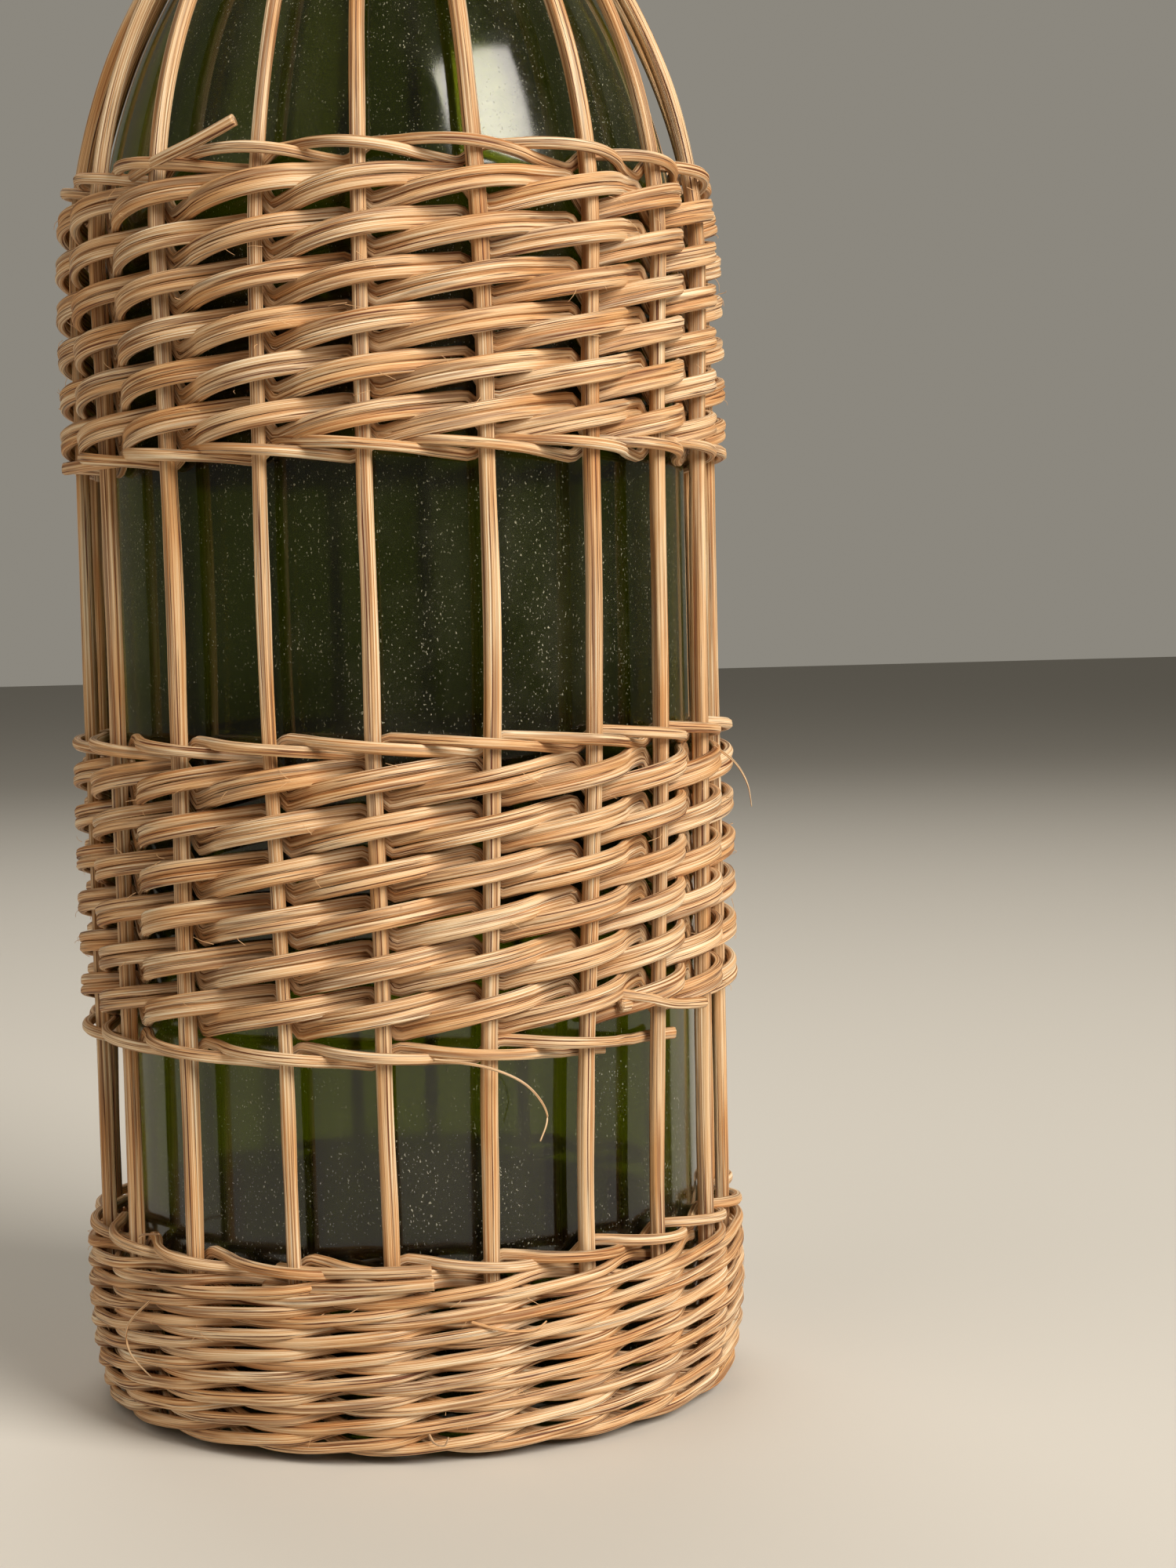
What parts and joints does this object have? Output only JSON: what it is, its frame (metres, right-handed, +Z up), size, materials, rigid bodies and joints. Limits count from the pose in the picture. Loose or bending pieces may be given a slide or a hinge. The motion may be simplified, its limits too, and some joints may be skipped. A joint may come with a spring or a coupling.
{
  "type": "wicker-covered wine flask",
  "caption": "Tall round green glass wine flask in an openwork cane basket: upright stakes bound by a wale, two bands of doubled pairing and a neck collar, with a lift-out cork.",
  "frame": {"origin": "centre of the glass ring that the bottle stands on", "axes": "+Z up the bottle's axis to the mouth, -Y to the front that the picture shows"},
  "size_m": [0.1132, 0.1132, 0.3381],
  "materials": {
    "bottle_glass": "dark green blown glass, dusty",
    "cork": "natural cork",
    "stake_cane": "round natural cane with fine lengthwise grain",
    "woven_cane": "natural cane, satin, darker in the gaps"
  },
  "bodies": {
    "flask": {"collar_weaver_1": "woven_cane", "collar_weaver_2": "woven_cane", "glass_bottle": "bottle_glass", "stake_01": "stake_cane", "stake_02": "stake_cane", "stake_03": "stake_cane", "stake_04": "stake_cane", "stake_05": "stake_cane", "stake_06": "stake_cane", "stake_07": "stake_cane", "stake_08": "stake_cane", "stake_09": "stake_cane", "stake_10": "stake_cane", "stake_11": "stake_cane", "stake_12": "stake_cane", "stake_13": "stake_cane", "stake_14": "stake_cane", "stake_15": "stake_cane", "stake_16": "stake_cane", "stake_17": "stake_cane", "stake_18": "stake_cane", "stake_19": "stake_cane", "stake_20": "stake_cane", "upper_lower_border_1": "woven_cane", "upper_lower_border_2": "woven_cane", "upper_upper_border_1": "woven_cane", "upper_upper_border_2": "woven_cane", "upper_weaver_1": "woven_cane", "upper_weaver_2": "woven_cane", "upper_weaver_3": "woven_cane", "upper_weaver_4": "woven_cane", "waist_lower_border_1": "woven_cane", "waist_lower_border_2": "woven_cane", "waist_upper_border_1": "woven_cane", "waist_upper_border_2": "woven_cane", "waist_weaver_1": "woven_cane", "waist_weaver_2": "woven_cane", "waist_weaver_3": "woven_cane", "waist_weaver_4": "woven_cane", "wale_border_1": "woven_cane", "wale_border_2": "woven_cane", "wale_rod_1": "woven_cane", "wale_rod_2": "woven_cane", "wale_rod_3": "woven_cane"},
    "cork": {"cork_stopper": "cork"}
  },
  "joints": [
    {"name": "cork_lift", "type": "slide", "parent": "flask", "child": "cork", "axis": [0, 0, 1], "range_m": [0, 0.045]}
  ]
}
